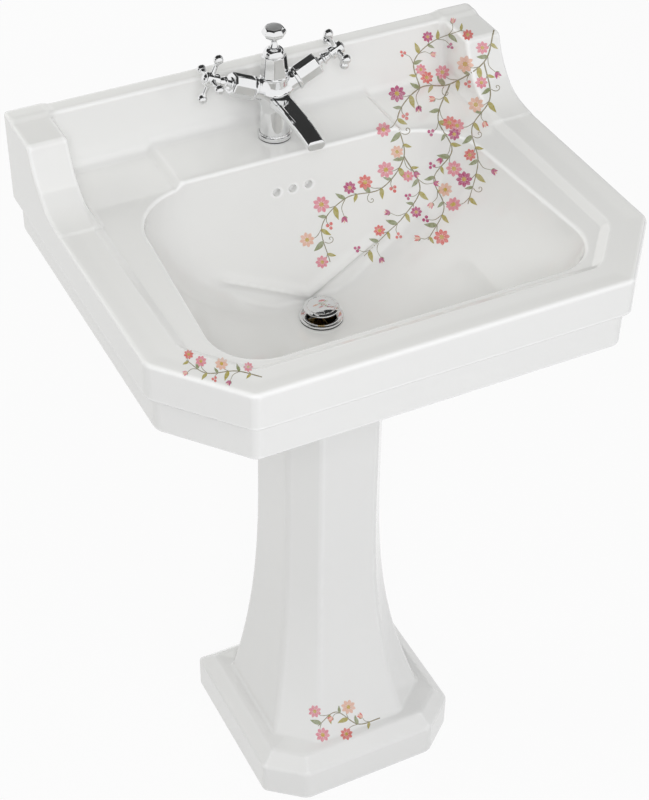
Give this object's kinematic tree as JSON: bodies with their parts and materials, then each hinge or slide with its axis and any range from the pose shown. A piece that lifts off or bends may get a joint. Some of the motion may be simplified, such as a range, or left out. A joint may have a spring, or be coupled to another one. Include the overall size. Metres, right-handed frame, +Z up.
{
  "type": "pedestal sink",
  "caption": "Pedestal sink: cut-corner china basin with scooped bowl and raised back on a hollow flared pedestal, with a deck mixer tap, cross handles, pop-up waste and bottle trap.",
  "frame": {"origin": "on the floor, below the middle of the basin's width and depth", "axes": "+Z up, -Y to the front where a person stands, +Y to the wall, +X to the right as seen from the front"},
  "size_m": [0.61, 0.51, 1.016],
  "materials": {
    "china": "gloss",
    "chrome": "polished",
    "brass": "satin",
    "steel": "satin",
    "rubber": "matt",
    "white_plastic": "gloss",
    "nylon": "matt",
    "index": "polished"
  },
  "bodies": {
    "sink": {"basin": "china", "pedestal": "china", "tap_body": "chrome", "tap_base_ring": "chrome", "tap_column": "chrome", "spout": "chrome", "waste_flange": "chrome", "hot_bonnet": "chrome", "cold_bonnet": "chrome", "waste_tee": "chrome", "waste_back_nut": "chrome", "pivot_nut": "chrome", "tail_pipe": "chrome", "hot_cartridge": "brass", "cold_cartridge": "brass", "fixing_stud": "brass", "fixing_nut": "brass", "hot_inlet": "brass", "cold_inlet": "brass", "clamp_plate": "steel", "tap_base_seal": "rubber", "clamp_gasket": "rubber", "flange_seal": "rubber", "waste_washer": "rubber", "trap_seal": "rubber", "cup_seal": "rubber", "outlet_seal": "rubber", "trap_nut": "white_plastic", "trap_body": "white_plastic", "trap_cup": "white_plastic", "outlet_nut": "white_plastic", "outlet_pipe": "white_plastic", "pivot_seat": "nylon", "spout_nozzle": "nylon"},
    "lift": {"lift_knob": "chrome", "lift_rod": "chrome", "clevis_strap": "steel", "clevis_screw": "steel"},
    "pivot": {"pivot_rod": "steel", "spring_clip": "steel"},
    "plug": {"plug_cap": "chrome", "plug_seal": "rubber", "plug_stem": "brass"},
    "hot_handle": {"hot_spindle": "chrome", "hot_crosshead": "chrome", "hot_index_cap": "index"},
    "cold_handle": {"cold_spindle": "chrome", "cold_crosshead": "chrome", "cold_index_cap": "index"}
  },
  "joints": [
    {"name": "lift_slide", "type": "slide", "parent": "sink", "child": "lift", "axis": [0, 0, 1], "range_m": [0, 0.0319]},
    {"name": "pivot_swing", "type": "hinge", "parent": "sink", "child": "pivot", "pos_m": [0, 0.074, 0.6], "axis": [1, 0, 0], "range_deg": [0, 18]},
    {"name": "plug_slide", "type": "slide", "parent": "sink", "child": "plug", "axis": [0, 0, 1], "range_m": [-0.0085, 0]},
    {"name": "hot_turn", "type": "hinge", "parent": "sink", "child": "hot_handle", "pos_m": [0, 0.176, 0.928], "axis": [-0.9063, 0, 0.4226], "range_deg": [0, 90]},
    {"name": "cold_turn", "type": "hinge", "parent": "sink", "child": "cold_handle", "pos_m": [0, 0.176, 0.928], "axis": [0.9063, 0, 0.4226], "range_deg": [-90, 0]}
  ],
  "couplings": [
    {"joint": "pivot_swing", "follows": "lift_slide", "rad_per_m": 9.8443},
    {"joint": "plug_slide", "follows": "lift_slide", "ratio": -0.26469}
  ]
}
